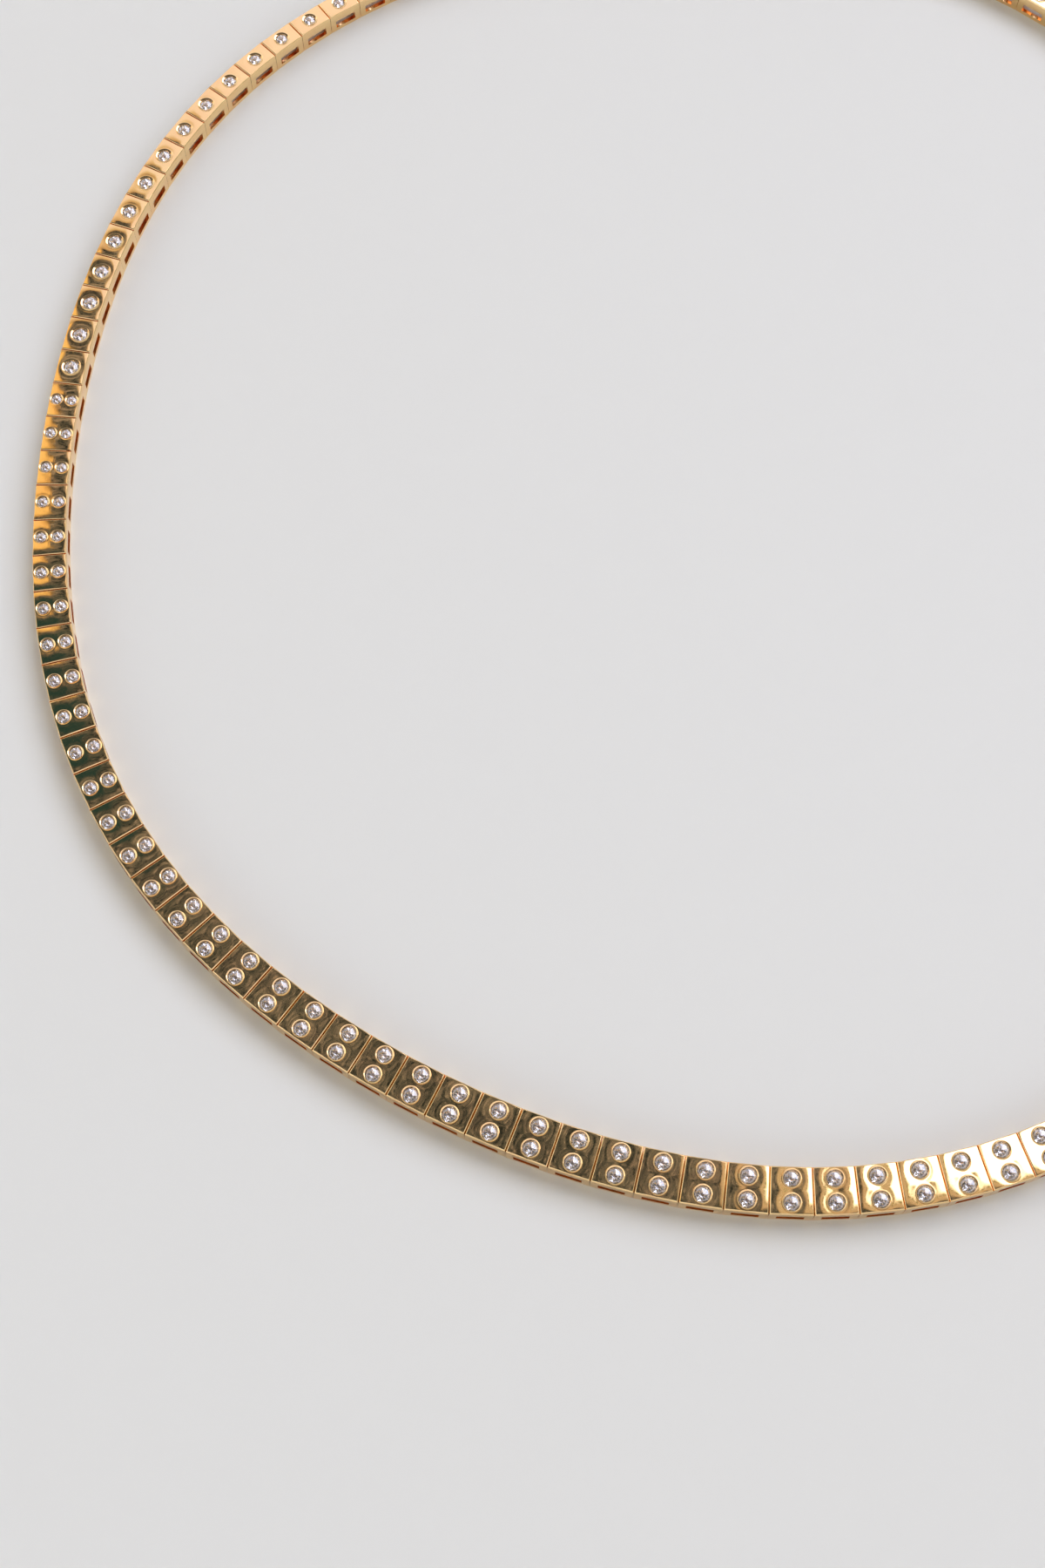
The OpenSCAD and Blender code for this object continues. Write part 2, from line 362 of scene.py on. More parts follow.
class Stones:
    """Radius of each link's stones and how far they sit from the middle, and on which sides."""

    def __init__(self, span, size_part, spread_part, rim):
        self.radius, self.rim = size_part * span.side, rim
        self.offset = spread_part * span.side
        self.sides = (1, -1) if spread_part else (1,)
        self.foot = self.radius + rim


pair_stones = Stones(paired, PAIR_SIZE, PAIR_SPREAD, PAIR_RIM)
single_stones = Stones(single, SINGLE_SIZE, 0.0, SINGLE_RIM)
print("front stones", round(2 * pair_stones.radius.max(), 2), "mm, smallest",
      round(2 * single_stones.radius.min(), 2), "mm")


# %% The plate's crown, lean and hollows
# Fall of the plate to its ends and to its sides, by the second and by the fourth power
FALL_ALONG, FALL_ACROSS = (0.005, 0.012), (0.008, 0.018)
# The hollow round a seat: depth and reach
DIP, DIP_REACH = 0.010, 0.3


def deck_height(x, y, span, stones):
    """Top plus lean, less a crown that falls with the second and fourth powers of x and y, less a
    faint hollow round each seat that dies away as a bell curve."""
    along, across = (x / beside(span.half, x)) ** 2, (y / beside(span.side, x)) ** 2
    z = TOP - FALL_ALONG[0] * along - FALL_ALONG[1] * along ** 2
    z = z - FALL_ACROSS[0] * across - FALL_ACROSS[1] * across ** 2
    z = z + beside(span.lean[0], x) * x + beside(span.lean[1], x) * y
    if stones is None:
        return z
    for side in stones.sides:
        away = np.hypot(x, y - side * beside(stones.offset, x)) - beside(stones.foot, x)
        z = z - DIP * np.exp(-(np.maximum(away, 0) / DIP_REACH) ** 2)
    return z


print("plates fall by", sum(FALL_ALONG), "mm to the ends,", sum(FALL_ACROSS), "mm to the sides")


# %% The rolled edge and the bevels
# Rings from the bevel's foot to the plate, and where the foot and a last ring on the plate lie
BEVEL_STEPS, FOOT_INSET, DECK_EDGE = np.array([0.0, 0.5, 0.92, 1.0]), 0.12, 1.12
# How the bevel rounds off towards the plate, where 1 would be straight
BEVEL_EASE = 1.08
# The bevel's share of a narrow gap beside a stone, and the least that it takes, in mm
ROOM_PART, LEAST_BEVEL = 0.55, 0.004


def side_inset(x, span, stones):
    """Width of the long bevel: its full width, or just over half the room beside the stone. The
    lesser wins, softly: the sum of both to the power -4, to the power -1/4."""
    if stones is None:
        return SIDE_BEVEL + 0 * x
    chord = np.sqrt(np.maximum(beside(stones.foot, x) ** 2 - x ** 2, 0))
    room = beside(span.side - stones.offset, x) - chord
    return (SIDE_BEVEL ** -4 + np.maximum(ROOM_PART * room, LEAST_BEVEL) ** -4) ** -0.25


def edge_rings(span, stones, windowed=True, side=1):
    """Rings of the half outline from the wall's top over the rounded edge and up the bevel. At
    step p the height is edge + (plate - edge) * (1 - (1 - p)^ease). A last ring on the plate
    keeps the bevel's shine on the bevel. The heights are those of the side asked for."""
    line_x, line_y = half_outline(span.half, -span.half, span.side[:, None], windowed)
    inset = side_inset(line_x[:, ALONG_SIDE], span, stones)
    ring = lambda share: half_outline(span.half - END_BEVEL * share, END_BEVEL * share - span.half,
                                      span.side[:, None] - inset * share, windowed)
    top_x, top_y = ring(1.0)
    top, edge = deck_height(top_x, side * top_y, span, stones), edge_height()
    rings = [(line_x, line_y, edge - EDGE_ROUND + 0 * line_x)]
    for step in BEVEL_STEPS:
        x, y = ring(FOOT_INSET + (1 - FOOT_INSET) * step)
        rings.append((x, y, edge + (top - edge) * (1 - (1 - step) ** BEVEL_EASE)))
    x, y = ring(DECK_EDGE)
    rings.append((x, y, deck_height(x, side * y, span, stones)))
    return tuple(np.stack([r[axis] for r in rings], 1) for axis in range(3))


edge_z = edge_rings(paired, pair_stones)[2]
print("edge net", edge_z.shape, "from", edge_z.min().round(3), "to", edge_z.max().round(3), "mm")

# %% [markdown]
# ## The plate, the rims and the seats
# From the bevel's inner line the net runs to the foot of the raised rim. With two stones the
# plate is two cells that meet in the middle, each with its own round hole. Then the same
# spokes go up the rim, over it and down the stepped seat to the hollow, like a turned profile.


# %% Loops round a cell, and the angles of its spokes
# Angles this near, as a part of a turn, are the same
SAME_TURN = 1e-9


def cell_loop(half, pair):
    """Points round one cell of a pair, the half outline closed along the middle line, or round a
    single cell, the whole outline."""
    if not pair:
        return whole_outline(half)
    x, y = half
    back = x[:, FAR_CORNER - 1:CORNER:-1]
    return np.concatenate([x, back], 1), np.concatenate([y, 0 * back], 1)


def spoke_angles(x, y, offset):
    """Angles of the spokes round the seat: those of the cell's corners, with equal steps between."""
    count = x.shape[1]
    if count == 2 * FAR_CORNER:
        marks = [0, CORNER, FAR_CORNER, FAR_END, count]
    else:
        marks = [-CORNER, CORNER, FAR_CORNER, FAR_END + END_STEPS, count - CORNER]
    at = [np.arctan2(y[:, mark % count] - offset, x[:, mark % count]) for mark in marks]
    for i in range(1, len(at)):
        at[i] = at[i] + 2 * np.pi * np.ceil((at[i - 1] - at[i]) / (2 * np.pi) - SAME_TURN)
    turns = [np.linspace(at[i], at[i + 1], marks[i + 1] - marks[i], endpoint=False, axis=1)
             for i in range(len(marks) - 1)]
    return np.roll(np.concatenate(turns, 1), marks[0], axis=1)


def cell_net(loop, angles, radius, offset, steps):
    """Straight lines from the loop's points to a circle round the seat, cut at the given steps."""
    circle = radius[:, None] * np.cos(angles), offset[:, None] + radius[:, None] * np.sin(angles)
    s = steps[None, :, None]
    return tuple(line[:, None, :] * (1 - s) + arc[:, None, :] * s for line, arc in zip(loop, circle))


print("cells of", 2 * FAR_CORNER, "and", outline_points, "spokes")


# %% The turned profile of a rim and its seat
# Rings from foot to crest: a part of the rim's reach, and a part of the way up
RIM_CURVE = ((1.0, 0.0), (0.88, 0.66), (0.81, 0.97), (0.75, 1.0))
# The crest's inner edge: a part of the reach, and mm below the top
CREST_PART, CREST_DROP = 0.66, 0.009
# The cut slope's end: mm inside the stone's edge, and mm below the top
SLOPE_REACH, SLOPE_DROP = 0.03, 0.068
# The lip: mm inside the stone's edge, mm above its girdle, and thickness; then the seat's play
GRIP_REACH, GRIP_RISE, GRIP_DROP, SEAT_PLAY = 0.04, 0.05, 0.03, 0.012


def seat_profile(stones, deck, bore):
    """Rings from the rim's foot over its crest, down the cut slope to the stone's edge, under it,
    along the ledge and down the narrow bore: at each, a radius and a height."""
    radius, size = stones.radius[:, None, None], 2 * stones.radius[:, None, None]
    girdle = TOP + TABLE_RISE - CROWN_PART * size
    grip, ledge = girdle + GRIP_RISE, girdle - GIRDLE_PART * size - LEDGE_DROP
    foot = deck[:, None, :]
    flat = lambda height: height + 0 * foot
    rings = [(part * stones.rim, foot + (RIM_TOP - foot) * up) for part, up in RIM_CURVE]
    rings += [(CREST_PART * stones.rim, flat(RIM_TOP - CREST_DROP)),
              (-SLOPE_REACH, flat(RIM_TOP - SLOPE_DROP)), (-GRIP_REACH, flat(grip)),
              (SEAT_PLAY, flat(grip - GRIP_DROP)), (SEAT_PLAY, flat(ledge))]
    outward = [radius + extra + 0 * foot for extra, _ in rings] + 2 * [bore[:, None, None] + 0 * foot]
    upward = [height for _, height in rings] + [flat(ledge), flat(CEILING)]
    return np.concatenate(outward, 1), np.concatenate(upward, 1)


rim_reach, rim_height = seat_profile(pair_stones, np.full((PAIRED, 1), TOP), pair_stones.radius)
print("rim and seat of", rim_height.shape[1], "rings, up to", rim_height.max(), "mm")


# %% [markdown]
# ## Gathering nets into one mesh
# Each net is made for all the links at once, as an array of link, row and column. A store
# collects the nets of one piece. Nets that share a line have the very same points there, so
# joining points that coincide closes every seam.


# %% The store of nets
# An edge is sharp where its faces turn by more than so many degrees
SHARP = 40


class Nets:
    """Points and faces of one piece, and how far inside the box each point lies, 0 or 1."""

    def __init__(self):
        self.points, self.faces, self.inner, self.count = [], [], [], 0

    def add(self, points, closed=False, keep=None, inner=0.0):
        """Adds a net of points (links, rows, columns, 3), without the faces not in keep."""
        boxes, rows, columns = points.shape[:3]
        faces = grid_faces(rows, columns, closed)
        faces = faces if keep is None else faces[keep.ravel()]
        self.add_faces(points.reshape(boxes, -1, 3), [faces], inner)

    def add_faces(self, points, faces, inner=0.0):
        """Adds the same arrays of faces for each link's points (links, points, 3)."""
        boxes, each = points.shape[:2]
        shift = self.count + each * np.arange(boxes)[:, None, None]
        self.faces += [(some[None] + shift).reshape(-1, some.shape[1]) for some in faces]
        self.points.append(points.reshape(-1, 3))
        self.inner.append(np.broadcast_to(np.asarray(inner, float), (boxes, each)).ravel())
        self.count += boxes * each

    def rounded(self, name):
        """One object of all the nets, smooth but for its sharp edges."""
        made = mesh_object(name, np.concatenate(self.points), self.faces, np.concatenate(self.inner))
        made.data.polygons.foreach_set("use_smooth", np.ones(len(made.data.polygons), bool))
        made.data.set_sharp_from_angle(angle=math.radians(SHARP))
        return made


# %% Plates with one seat, two seats or none
# Shares of the way from the bevel to a rim's foot, or to the middle of a plate with no seat
DECK_STEPS = np.array([0.0, 0.1, 0.3, 0.55, 0.8, 0.94, 1.0])
PLAIN_STEPS = np.linspace(0, 1, 5)
# Least distance from a bore to the wall
BORE_TO_WALL = 0.02


def add_plain_plate(nets, span, bevel_line, ceiling):
    """A deck and a ceiling with no seat, of straight lines from each long side to the middle."""
    for (line_x, line_y), inner in ((bevel_line, 0.0), (ceiling, 1.0)):
        y = line_y[:, None, :] * (1 - PLAIN_STEPS)[None, :, None]
        x = line_x[:, None, :] + 0 * y
        for side in (1, -1):
            height = CEILING + 0 * y if inner else deck_height(x, side * y, span, None)
            nets.add(span.place(x, side * y, height), inner=inner)


def add_seats(nets, span, stones, bevel_line, ceiling):
    """For each stone a deck from the bevel to the rim's foot, then rim and seat, and the ceiling
    from the hollow's outline to the bore."""
    pair, offset = len(stones.sides) == 2, stones.offset
    loop = cell_loop(bevel_line, pair)
    angles = spoke_angles(*loop, offset)
    bore = np.minimum(stones.radius - LEDGE_REACH, span.side - WALL - offset - BORE_TO_WALL)
    deck_x, deck_y = cell_net(loop, angles, stones.foot, offset, DECK_STEPS)
    under_x, under_y = cell_net(cell_loop(ceiling, pair), angles, bore, offset, np.array([0.0, 1.0]))
    for side in stones.sides:
        deck = deck_height(deck_x, side * deck_y, span, stones)
        outward, upward = seat_profile(stones, deck[:, -1], bore)
        seat_x = outward * np.cos(angles)[:, None, :]
        seat_y = beside(offset, outward) + outward * np.sin(angles)[:, None, :]
        nets.add(span.place(deck_x, side * deck_y, deck), closed=True)
        nets.add(span.place(seat_x, side * seat_y, upward), closed=True)
        nets.add(span.place(under_x, side * under_y, CEILING), closed=True, inner=1.0)


def add_plate(nets, span, stones, ceiling, windowed=True):
    """The bevels, the deck and, under it, the ceiling of the hollow with the half outline given."""
    for side in (1, -1):
        x, y, z = edge_rings(span, stones, windowed, side)
        nets.add(span.place(x, side * y, z))
    bevel_line = x[:, -1], y[:, -1]
    if stones is None:
        add_plain_plate(nets, span, bevel_line, ceiling)
    else:
        add_seats(nets, span, stones, bevel_line, ceiling)


print("decks of", len(DECK_STEPS), "rings")


# %% [markdown]
# ## Walls, windows and the underside
# The outer and the inner faces of the walls are two nets with matching points. Cells left out
# of both are the windows and the slot for the next link's eye. Wherever a kept cell borders
# one that is left out, a narrow strip joins outer to inner and shows how thick the metal is.

# %% Walls from two nets and the strips between them
# Heights of the nets' rows below their tops
WALL_ROWS = (SLOT_TOP, WINDOW_LINTEL, WINDOW_SILL, 0.0)


def wall_net(span, outline, top):
    """The outline at the top heights given for its points, and again at each row below."""
    x, y = (line[:, None, :] for line in outline)
    z = np.stack([top] + [level + 0 * top for level in WALL_ROWS])[None]
    return span.place(x, y, z)


def open_cells(columns, windowed):
    """Which cells are left out, by band and column: the slot in the far end, and windows that stop
    two columns short of each corner."""
    opened = np.zeros((len(WALL_ROWS), columns), bool)
    opened[1:, [FAR_END - 1, FAR_END]] = True
    if windowed:
        opened[2, CORNER + 2:FAR_CORNER - 2] = True
        opened[2, columns - FAR_CORNER + 2:columns - CORNER - 2] = True
    return opened


def strip_faces(opened):
    """Corner numbers of the strips from the outer net to the inner one: level ones where one of
    two cells above each other is open, upright ones where one of two neighbours is."""
    bands, columns = opened.shape
    count = (bands + 1) * columns
    number_at = np.arange(count).reshape(-1, columns)
    all_open = np.ones((1, columns), bool)
    below = np.concatenate([opened[1:], all_open])
    band, here = np.argwhere(opened != below).T
    level = number_at[band + 1, here], number_at[band + 1, (here + 1) % columns]
    band, here = np.argwhere(opened != np.roll(opened, 1, axis=1)).T
    upright = number_at[band, here], number_at[band + 1, here]
    return np.concatenate([np.stack([first, second, second + count, first + count], 1)
                           for first, second in (level, upright)])


def add_walls(nets, span, outer, inner, windowed):
    """Outer and inner wall nets of four bands round the box, and strips where a band is open."""
    opened, edge = open_cells(outer[0].shape[1], windowed), round_box(edge_height())
    outside = wall_net(span, outer, edge - EDGE_ROUND)
    inside = wall_net(span, inner, CEILING + 0 * edge)
    nets.add(outside, closed=True, keep=~opened)
    nets.add(inside, closed=True, keep=~opened, inner=1.0)
    both = np.concatenate([outside, inside], 1).reshape(len(outside), -1, 3)
    # The strips run from the outer finish to the inside's roughness and painted warm glow
    depth = np.repeat([[0.0, 1.0]], both.shape[1] // 2, axis=1)
    nets.add_faces(both, [strip_faces(opened)], inner=depth)


print(open_cells(outline_points, True).sum(), "open cells in a link's walls")


# %% [markdown]
# ## Pins and eyes
# Inside one end of the link a pin crosses from wall to wall. At the other end an arm with a
# round eye reaches into the next link and closes round its pin, which is how the chain bends.

# %% The pin and the eye as profiles drawn across the link
# Points round the pin, and round the eye's head
PIN_SIDES, EYE_SIDES = 12, 14
# Half the arm's height as a part of the eye's radius, and its root as a part of the wall
ARM_PART, ARM_ROOT = 0.75, 0.75
# The hole's two points that face the arm, in degrees
ARM_TURNS = 164, 196


def add_pin(nets, span):
    """A circle carried across the link, with a flat cap in each wall."""
    turns = np.linspace(0, 2 * np.pi, PIN_SIDES, endpoint=False)
    y = np.array([1, -1])[None, :, None] * (span.side - WALL / 2)[:, None, None] + 0 * turns
    x = (PIN_INSET - span.half)[:, None, None] + PIN_RADIUS * np.cos(turns) + 0 * y
    z = PIN_HEIGHT + PIN_RADIUS * np.sin(turns) + 0 * y
    points = span.place(x, y, z, slanted=False)
    nets.add(points, closed=True, inner=1.0)
    caps = np.arange(2 * PIN_SIDES).reshape(2, PIN_SIDES)
    nets.add_faces(points.reshape(len(points), -1, 3), [caps], inner=1.0)


def add_eye(nets, span):
    """A keyhole outline, a round head on a straight arm, and the hole in it, each carried across."""
    arm, hole = ARM_PART * EYE_RADIUS, PIN_RADIUS + PIN_PLAY
    head_turn = math.pi - math.asin(arm / EYE_RADIUS)
    turns = np.concatenate([np.linspace(-head_turn, head_turn, EYE_SIDES), np.radians(ARM_TURNS)])
    head = (span.half + GAP + PIN_INSET)[:, None]
    outer_x = head + EYE_RADIUS * np.cos(turns)[None, :]
    outer_x[:, EYE_SIDES:] = (span.half - ARM_ROOT * WALL)[:, None]
    outer_z = np.concatenate([EYE_RADIUS * np.sin(turns[:EYE_SIDES]), [arm, -arm]])
    hole_x, hole_z = head + hole * np.cos(turns), hole * np.sin(turns)
    x = np.stack([outer_x, outer_x, hole_x, hole_x, outer_x], 1)
    y = EYE_WIDTH / 2 * np.array([1, -1, -1, 1, 1])[None, :, None]
    z = PIN_HEIGHT + np.stack([outer_z, outer_z, hole_z, hole_z, outer_z])[None]
    nets.add(span.place(x, y, z, slanted=False), closed=True, inner=1.0)


print("eyes", round(2 * EYE_RADIUS, 2), "mm wide on pins of", 2 * PIN_RADIUS, "mm")


# %% The links and the clasp as finished pieces
def box_piece(name, span, stones, hollow=None):
    """One piece of every box in the span: plate, walls, pin and eye. A hollow given by its two
    ends, measured from the end at -X, makes a pocket in a box with no windows."""
    nets, windowed = Nets(), hollow is None
    if windowed:
        right, left = span.half - WALL, WALL - span.half
    else:
        left, right = (edge - span.half for edge in hollow)
    inner = half_outline(right, left, (span.side - WALL)[:, None], windowed)
    outer = half_outline(span.half, -span.half, span.side[:, None], windowed)
    add_plate(nets, span, stones, inner, windowed)
    add_walls(nets, span, whole_outline(outer), whole_outline(inner), windowed)
    add_pin(nets, span)
    add_eye(nets, span)
    return nets.rounded(name)


paired_boxes = box_piece("paired_boxes", paired, pair_stones)
single_boxes = box_piece("single_boxes", single, single_stones)
pocket = PIN_INSET + EYE_RADIUS + 2 * PIN_PLAY
clasp_box = box_piece("clasp_box", clasp, None, hollow=(WALL, WALL + pocket))
print("the clasp's pocket is", round(pocket, 2), "mm long")

# %% [markdown]
# ## The brilliants
# A round brilliant has a table, eight stars, eight kites and sixteen halves above its girdle,
# and sixteen halves and eight mains below. A sphere or a cone would never sparkle: light comes
# back out of a diamond only because its flat facets meet at these angles. Each facet is a real
# flat face here, set out once and copied to every seat with its own size and turn.


# %% One brilliant of radius 1
# Radii of the table, and of the circle where the lower halves end
TABLE, LOWER_END = 0.57, 0.27


def brilliant_facets():
    """Corner numbers of the table and stars, the upper and the lower halves, the kites, the girdle
    and the mains, among the pattern's points."""
    i, j = np.arange(8), np.arange(16)
    after, before = (i + 1) % 8, (i - 1) % 8
    table, star, girdle, belt, lower, tip = 0, 8, 16, 32, 48, 56
    return [(table + i)[None, :]] + [np.stack(corners, 1) for corners in (
        (table + i, star + i, table + after),
        (star + i, girdle + 2 * i, girdle + 2 * i + 1),
        (star + i, girdle + 2 * i + 1, girdle + 2 * after),
        (lower + i, belt + 2 * i + 1, belt + 2 * i),
        (lower + i, belt + 2 * after, belt + 2 * i + 1),
        (table + i, star + before, girdle + 2 * i, star + i),
        (girdle + j, belt + j, belt + (j + 1) % 16, girdle + (j + 1) % 16),
        (tip + 0 * i, lower + i, belt + 2 * i, lower + before))]


def brilliant_points():
    """Points of a stone of radius 1, its girdle's top at height 0. A kite or a main is a plane
    through its girdle point, so heights follow from how far a point lies that way. The stars end
    halfway from the table's side to the girdle."""
    ring = lambda radius, height, turns: np.stack(
        [radius * np.cos(turns), radius * np.sin(turns), height + 0 * turns], 1)
    full = np.radians(45) * np.arange(8)
    between = full + np.radians(22.5)
    sixteen = np.radians(22.5) * np.arange(16)
    beside_full = math.cos(math.radians(22.5))
    crown, belt, depth = 2 * CROWN_PART, 2 * GIRDLE_PART, 2 * PAVILION_PART
    star = 0.5 * (1 + TABLE * beside_full)
    star_height = crown * (1 - star * beside_full) / (1 - TABLE)
    lower_height = -belt - depth * (1 - LOWER_END * beside_full)
    return np.concatenate([
        ring(TABLE, crown, full), ring(star, star_height, between), ring(1, 0, sixteen),
        ring(1, -belt, sixteen), ring(LOWER_END, lower_height, between), [[0, 0, -belt - depth]]])


print("a brilliant has", sum(len(some) for some in brilliant_facets()), "facets")


# %% Set a brilliant in every seat
# Degrees that a stone is turned from the last link's, and to its own side
LINK_TURN, SIDE_TURN = 137.5, 30


def set_stones(name, span, stones, k):
    """Scales the pattern by each radius, turns it with its link and by its own angle, and sets
    its table just above the plate."""
    nets, (along, across, up) = Nets(), brilliant_points().T
    for side in stones.sides:
        turn = span.turn + np.radians(LINK_TURN * k + (SIDE_TURN * side if len(stones.sides) == 2 else 0))
        cos, sin, radius = (some[:, None] for some in (np.cos(turn), np.sin(turn), stones.radius))
        middle = span.place(0, side * stones.offset, 0, slanted=False)
        x = middle[:, :1] + radius * (along * cos - across * sin)
        y = middle[:, 1:2] + radius * (along * sin + across * cos)
        z = TOP + TABLE_RISE - 2 * CROWN_PART * radius + radius * up
        nets.add_faces(np.stack([x, y, z], -1), brilliant_facets())
    return mesh_object(name, np.concatenate(nets.points), nets.faces)


paired_brilliants = set_stones("paired_brilliants", paired, pair_stones, paired_k)
single_brilliants = set_stones("single_brilliants", single, single_stones, single_k)

# %% [markdown]
# ## Finishes
# Gold is a bare metal: its colour lives in what it mirrors, so the finish is mostly a low
# roughness that varies a little, and a very slight unevenness from the polishing wheel. Inside
# the boxes no wheel could reach, so the metal is rougher there. It is also redder there: a
# painted warm glow that stands for light bounced between the gold walls.

# %% Helpers for trees of nodes
def put(tree, socket, value):
    """Sets a socket to a plain value, or joins another node's output to it."""
    if isinstance(value, bpy.types.NodeSocket):
        tree.links.new(value, socket)
    else:
        socket.default_value = value


def number(tree, operation, *values):
    """One sum, each of its values a plain number or another node's output."""
    node = tree.nodes.new("ShaderNodeMath")
    node.operation = operation
    for socket, value in zip(node.inputs, values):
        put(tree, socket, value)
    return node.outputs["Value"]


def labelled(tree, kind, result, values, **settings):
    """One node of a kind with its settings and its labelled values, and its result."""
    node = tree.nodes.new(kind)
    for setting, choice in settings.items():
        setattr(node, setting, choice)
    for label, value in values.items():
        put(tree, node.inputs[label], value)
    return node.outputs[result]


def remap(tree, value, start, end, low=0.0, high=1.0, way="LINEAR"):
    """A value that goes from low to high as the given one goes from start to end."""
    values = {"Value": value, "From Min": start, "From Max": end, "To Min": low, "To Max": high}
    return labelled(tree, "ShaderNodeMapRange", "Result", values, interpolation_type=way)


def noise(tree, place, scale, detail, roughness=0.5):
    """Cloudy noise, mostly between 0.3 and 0.7."""
    values = {"Vector": place, "Scale": scale, "Detail": detail, "Roughness": roughness}
    return labelled(tree, "ShaderNodeTexNoise", "Fac", values)


def mix(tree, share, first, second):
    """The first colour, and a share of the second over it."""
    values = {"Factor": share, "A": first, "B": second}
    return labelled(tree, "ShaderNodeMix", "Result", values, data_type="RGBA")


# %% The polishing marks and the inside's painted glow, shared by every metal
# Fineness of waves and marks, roughness of smooth and dull parts, and how far inside
POLISH_INPUTS = {"Wave Scale": 600.0, "Mark Scale": 5200.0, "Smooth": 0.03, "Dull": 0.08, "Inside": 0.0}
# Noise over which marks go from smooth to dull, and waves from pure gold to so much redder
MARK_RANGE, WAVE_RANGE, WAVE_RED = (0.35, 0.7), (0.4, 0.65), 0.2
# How much duller the inside is, how much of the painted warm glow of bounced light it takes, and how high
# the marks are beside the waves
INSIDE_DULL, INSIDE_GLOW, MARK_HEIGHT = 0.25, 0.8, 0.03


def polish_group():
    """Node group: soft waves from the wheel and fine wiping marks, as a roughness, a height and a
    mask of where the alloy looks redder: a little at random along the waves, and inside the box a
    painted warm glow of light bounced between the walls. Each is a base plus a factor times an amount."""
    group = bpy.data.node_groups.new("polish_marks_and_inner_glow", "ShaderNodeTree")
    for label, usual in POLISH_INPUTS.items():
        socket = group.interface.new_socket(label, in_out="INPUT", socket_type="NodeSocketFloat")
        socket.default_value = usual
    for label in ("Roughness", "Height", "Tint And Glow"):
        group.interface.new_socket(label, in_out="OUTPUT", socket_type="NodeSocketFloat")
    taken = group.nodes.new("NodeGroupInput").outputs
    made = group.nodes.new("NodeGroupOutput").inputs
    place = group.nodes.new("ShaderNodeTexCoord").outputs["Object"]
    waves = noise(group, place, taken["Wave Scale"], 0.0)
    marks = noise(group, place, taken["Mark Scale"], 3.0)
    dull = remap(group, marks, *MARK_RANGE, taken["Smooth"], taken["Dull"])
    shade = remap(group, waves, *WAVE_RANGE, 0.0, WAVE_RED)
    # The redder tint inside is a painted warm glow of light bounced between the gold walls
    for label, amount, factor, base in (("Roughness", taken["Inside"], INSIDE_DULL, dull),
                                        ("Height", marks, MARK_HEIGHT, waves),
                                        ("Tint And Glow", taken["Inside"], INSIDE_GLOW, shade)):
        put(group, made[label], number(group, "MULTIPLY_ADD", amount, factor, base))
    return group


polish = polish_group()
print("polishing marks of", len(polish.nodes), "nodes")


# %% Polished gold
# The polished alloy, and a redder gold: the waves take a little of it at random, and the inside takes it
# as a painted warm glow of light bounced between the walls
GOLD, TINT_AND_GLOW_GOLD = (0.945, 0.675, 0.335), (0.93, 0.52, 0.28)
# Strength of the polish's bumps, and their height in metres
BUMP_STRENGTH, BUMP_HEIGHT = 0.35, 0.00002


def new_material(name, colour, settings):
    """A material with its shader's colour and settings, and that shader."""
    made = bpy.data.materials.new(name)
    made.use_nodes = True
    shader = made.node_tree.nodes["Principled BSDF"]
    for label, value in {"Base Color": (*colour, 1), **settings}.items():
        shader.inputs[label].default_value = value
    return made, shader


def polished_gold():
    """A bare metal: the polish's masks vary its roughness and colour, and redden the inside as a painted
    warm glow of bounced light. Its height bumps it.
    """
    made, shader = new_material("polished_gold", GOLD, {"Metallic": 1.0})
    tree = made.node_tree
    marks = tree.nodes.new("ShaderNodeGroup")
    marks.node_tree = polish
    depth = tree.nodes.new("ShaderNodeAttribute")
    depth.attribute_name = "inside"
    put(tree, marks.inputs["Inside"], depth.outputs["Fac"])
    # Redder at random along the waves, and redder inside as a painted warm glow of bounced light
    tone = mix(tree, marks.outputs["Tint And Glow"], (*GOLD, 1), (*TINT_AND_GLOW_GOLD, 1))
    bumps = {"Strength": BUMP_STRENGTH, "Distance": BUMP_HEIGHT, "Height": marks.outputs["Height"]}
    put(tree, shader.inputs["Base Color"], tone)
    put(tree, shader.inputs["Roughness"], marks.outputs["Roughness"])
    put(tree, shader.inputs["Normal"], labelled(tree, "ShaderNodeBump", "Normal", bumps))
    return made


gold = polished_gold()
print(gold.name, "of", len(gold.node_tree.nodes), "nodes")


# %% Clear diamond with its own refractive index, and the pale and half matt sheet
CLEAR = {"Transmission Weight": 1.0, "IOR": 2.42, "Roughness": 0.0}
diamond = new_material("cut_diamond", (1.0, 1.0, 1.0), CLEAR)[0]
pale = new_material("pale_sheet", (0.855, 0.86, 0.77), {"Roughness": 0.5})[0]
print(diamond.name, "and", pale.name)

# %% Each piece takes its finish and stands for its solids
for piece, finish, node, slot in (
        (paired_boxes, gold, "paired_links_chain", "gold"),
        (single_boxes, gold, "single_links_chain", "gold"),
        (clasp_box, gold, "box_clasp", "gold"),
        (paired_brilliants, diamond, "paired_diamonds", "diamond"),
        (single_brilliants, diamond, "single_diamonds", "diamond")):
    piece.data.materials.append(finish)
    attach(piece, "root")
    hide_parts(node)
    print(piece.name, "of", finish.name)
floor.data.materials.append(pale)

# %% [markdown]
# ## Light
# Polished metal shows its surroundings, so the light is laid out as what the plates should
# mirror. Looking up from the necklace, a dim ceiling lies overhead and to the front, a bright
# window fills the right, a pale wall the back, and a warm glow the left. Lamps could do this
# too, but a world worked out from the direction puts each edge where the plates need it.
# Near the horizon lies a low light that only the steep rims and bevels mirror: warm and dim
# towards the front left, white and bright towards the back right. Brightnesses are shown as
# they are, so that the brightest plates wash out to a plain pale gold.

